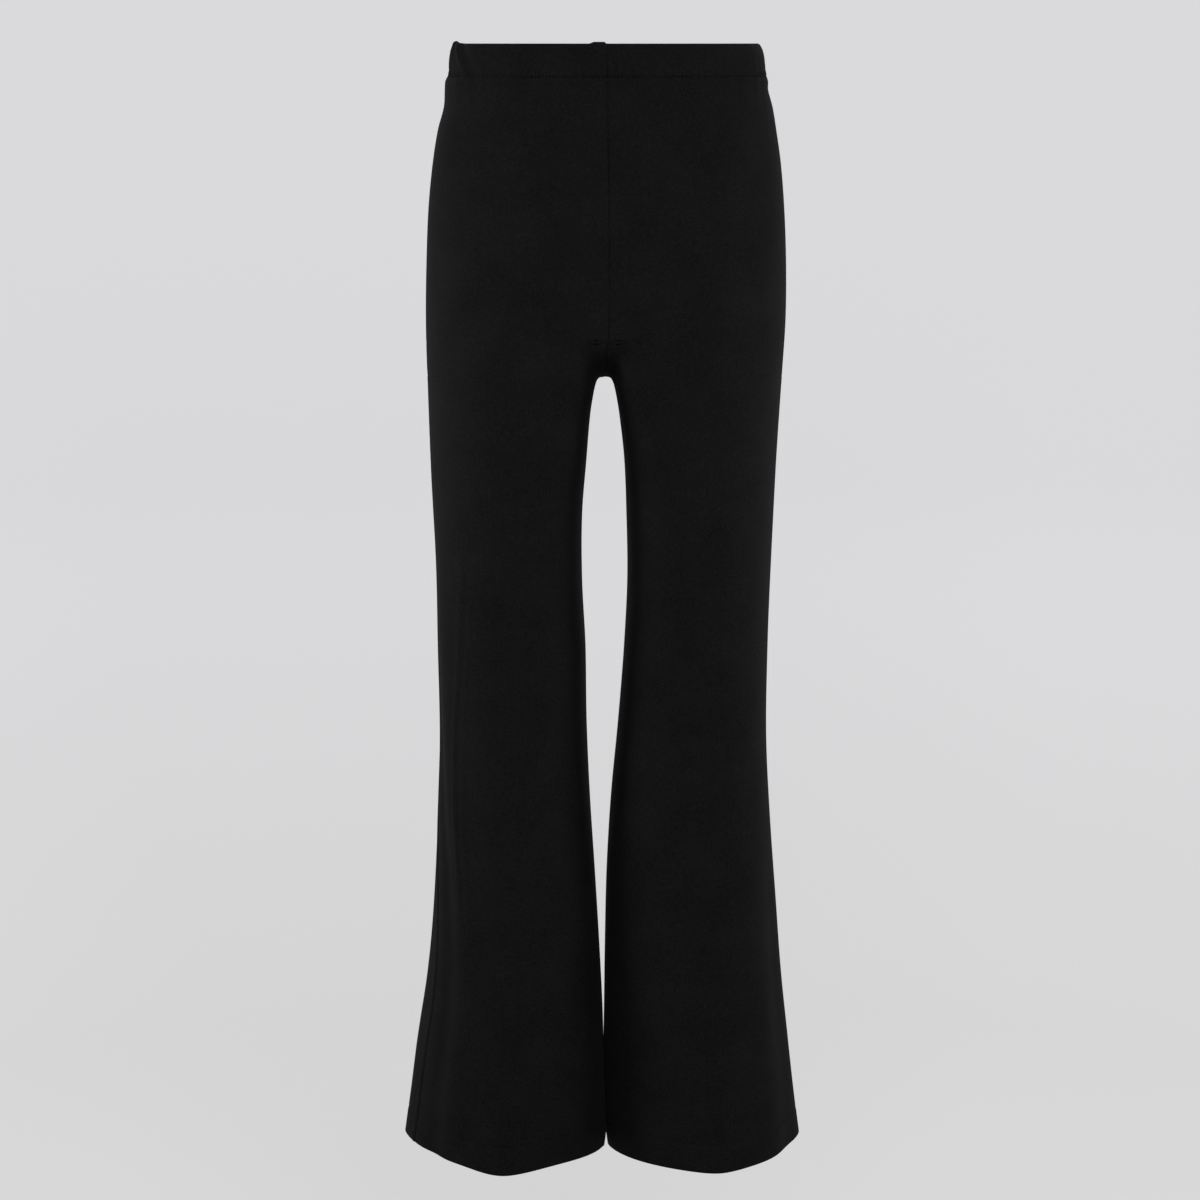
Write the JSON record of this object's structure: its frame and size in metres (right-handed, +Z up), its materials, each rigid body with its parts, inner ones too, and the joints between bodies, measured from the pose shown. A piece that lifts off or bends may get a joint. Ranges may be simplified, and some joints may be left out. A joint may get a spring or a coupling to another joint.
{
  "type": "bootcut trousers",
  "caption": "Pull-on bootcut trousers in plain black stretch knit, in worn shape: elastic waistband, smooth close hips, straight knees and legs flared to turned hems.",
  "frame": {"origin": "middle of the waist opening, half way up the elastic waistband at its sides, where the wearer's waist holds the trousers", "axes": "+Z up out of the waist, along the legs; the front faces -Y; +X is the wearer's left"},
  "size_m": [0.3703, 0.2322, 1.0175],
  "materials": {
    "knit": "matt black double knit of viscose, polyamide and elastane",
    "waistband": "the same black double knit, folded over elastic"
  },
  "bodies": {
    "root": {"front_right_rise": "knit", "front_right_thigh": "knit", "front_right_flare": "knit", "back_right_rise": "knit", "back_right_thigh": "knit", "back_right_flare": "knit", "front_left_rise": "knit", "front_left_thigh": "knit", "front_left_flare": "knit", "back_left_rise": "knit", "back_left_thigh": "knit", "back_left_flare": "knit", "waistband_front_right": "waistband", "waistband_back_right": "waistband", "waistband_front_left": "waistband", "waistband_back_left": "waistband"}
  },
  "joints": []
}
